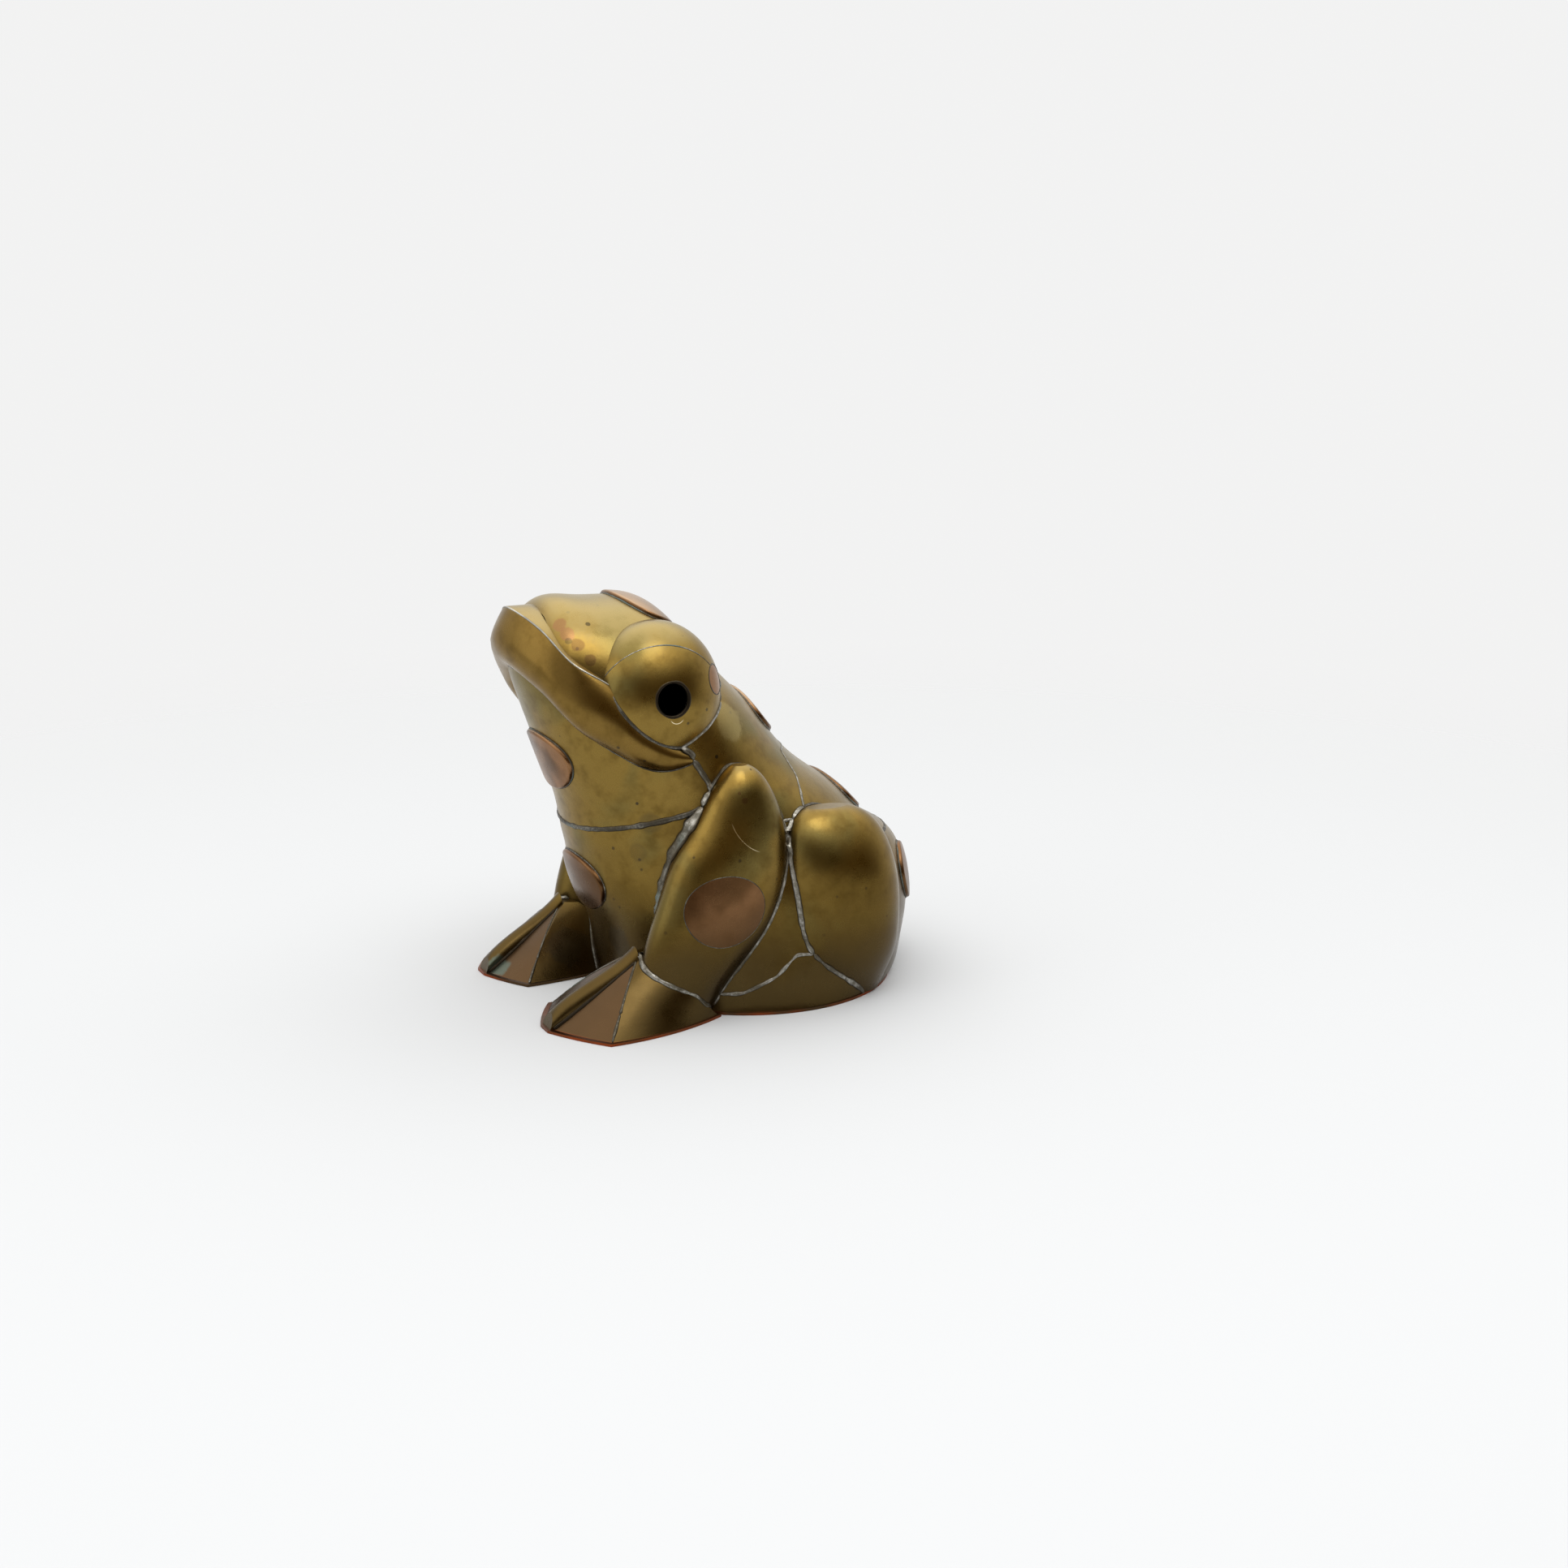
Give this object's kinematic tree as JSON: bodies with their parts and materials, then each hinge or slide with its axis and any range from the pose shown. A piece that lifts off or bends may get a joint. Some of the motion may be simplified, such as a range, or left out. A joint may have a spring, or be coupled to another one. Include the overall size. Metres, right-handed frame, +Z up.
{
  "type": "frog figurine",
  "caption": "Hollow sitting frog built up from formed brass panels soldered edge to edge, with raised copper spots, open round pupils and splayed front feet.",
  "frame": {"origin": "centre of the bounding box in plan, on the flat underside that rests on the table", "axes": "+Z up, the frog faces -Y, its left side is +X; the mirror plane is X = 0"},
  "size_m": [0.1278, 0.1626, 0.1502],
  "materials": {
    "brass": "aged satin brass",
    "copper": null
  },
  "bodies": {
    "root": {"back_panel": "brass", "back_spot": "copper", "base_plate": "copper", "chest": "brass", "chest_spot": "copper", "crown_spot": "copper", "eye_patch_left": "copper", "eye_patch_right": "copper", "eyeball_left": "brass", "eyeball_right": "brass", "eyelid_left": "brass", "eyelid_right": "brass", "foot_side_inner_left": "brass", "foot_side_inner_right": "brass", "foot_side_outer_left": "brass", "foot_side_outer_right": "brass", "foreleg_left": "brass", "foreleg_oval_left": "copper", "foreleg_oval_right": "copper", "foreleg_right": "brass", "gusset_left": "brass", "gusset_right": "brass", "head_top": "brass", "lip": "brass", "nape_left": "brass", "nape_right": "brass", "nape_spot": "copper", "rump_left": "brass", "rump_right": "brass", "rump_spot_left": "copper", "rump_spot_right": "copper", "skirt_left": "brass", "skirt_right": "brass", "sole_left": "copper", "sole_right": "copper", "thigh_left": "brass", "thigh_right": "brass", "throat": "brass", "throat_spot": "copper", "toe_ridge_left": "brass", "toe_ridge_right": "brass", "web_inner_left": "copper", "web_inner_right": "copper", "web_outer_left": "copper", "web_outer_right": "copper"}
  },
  "joints": []
}
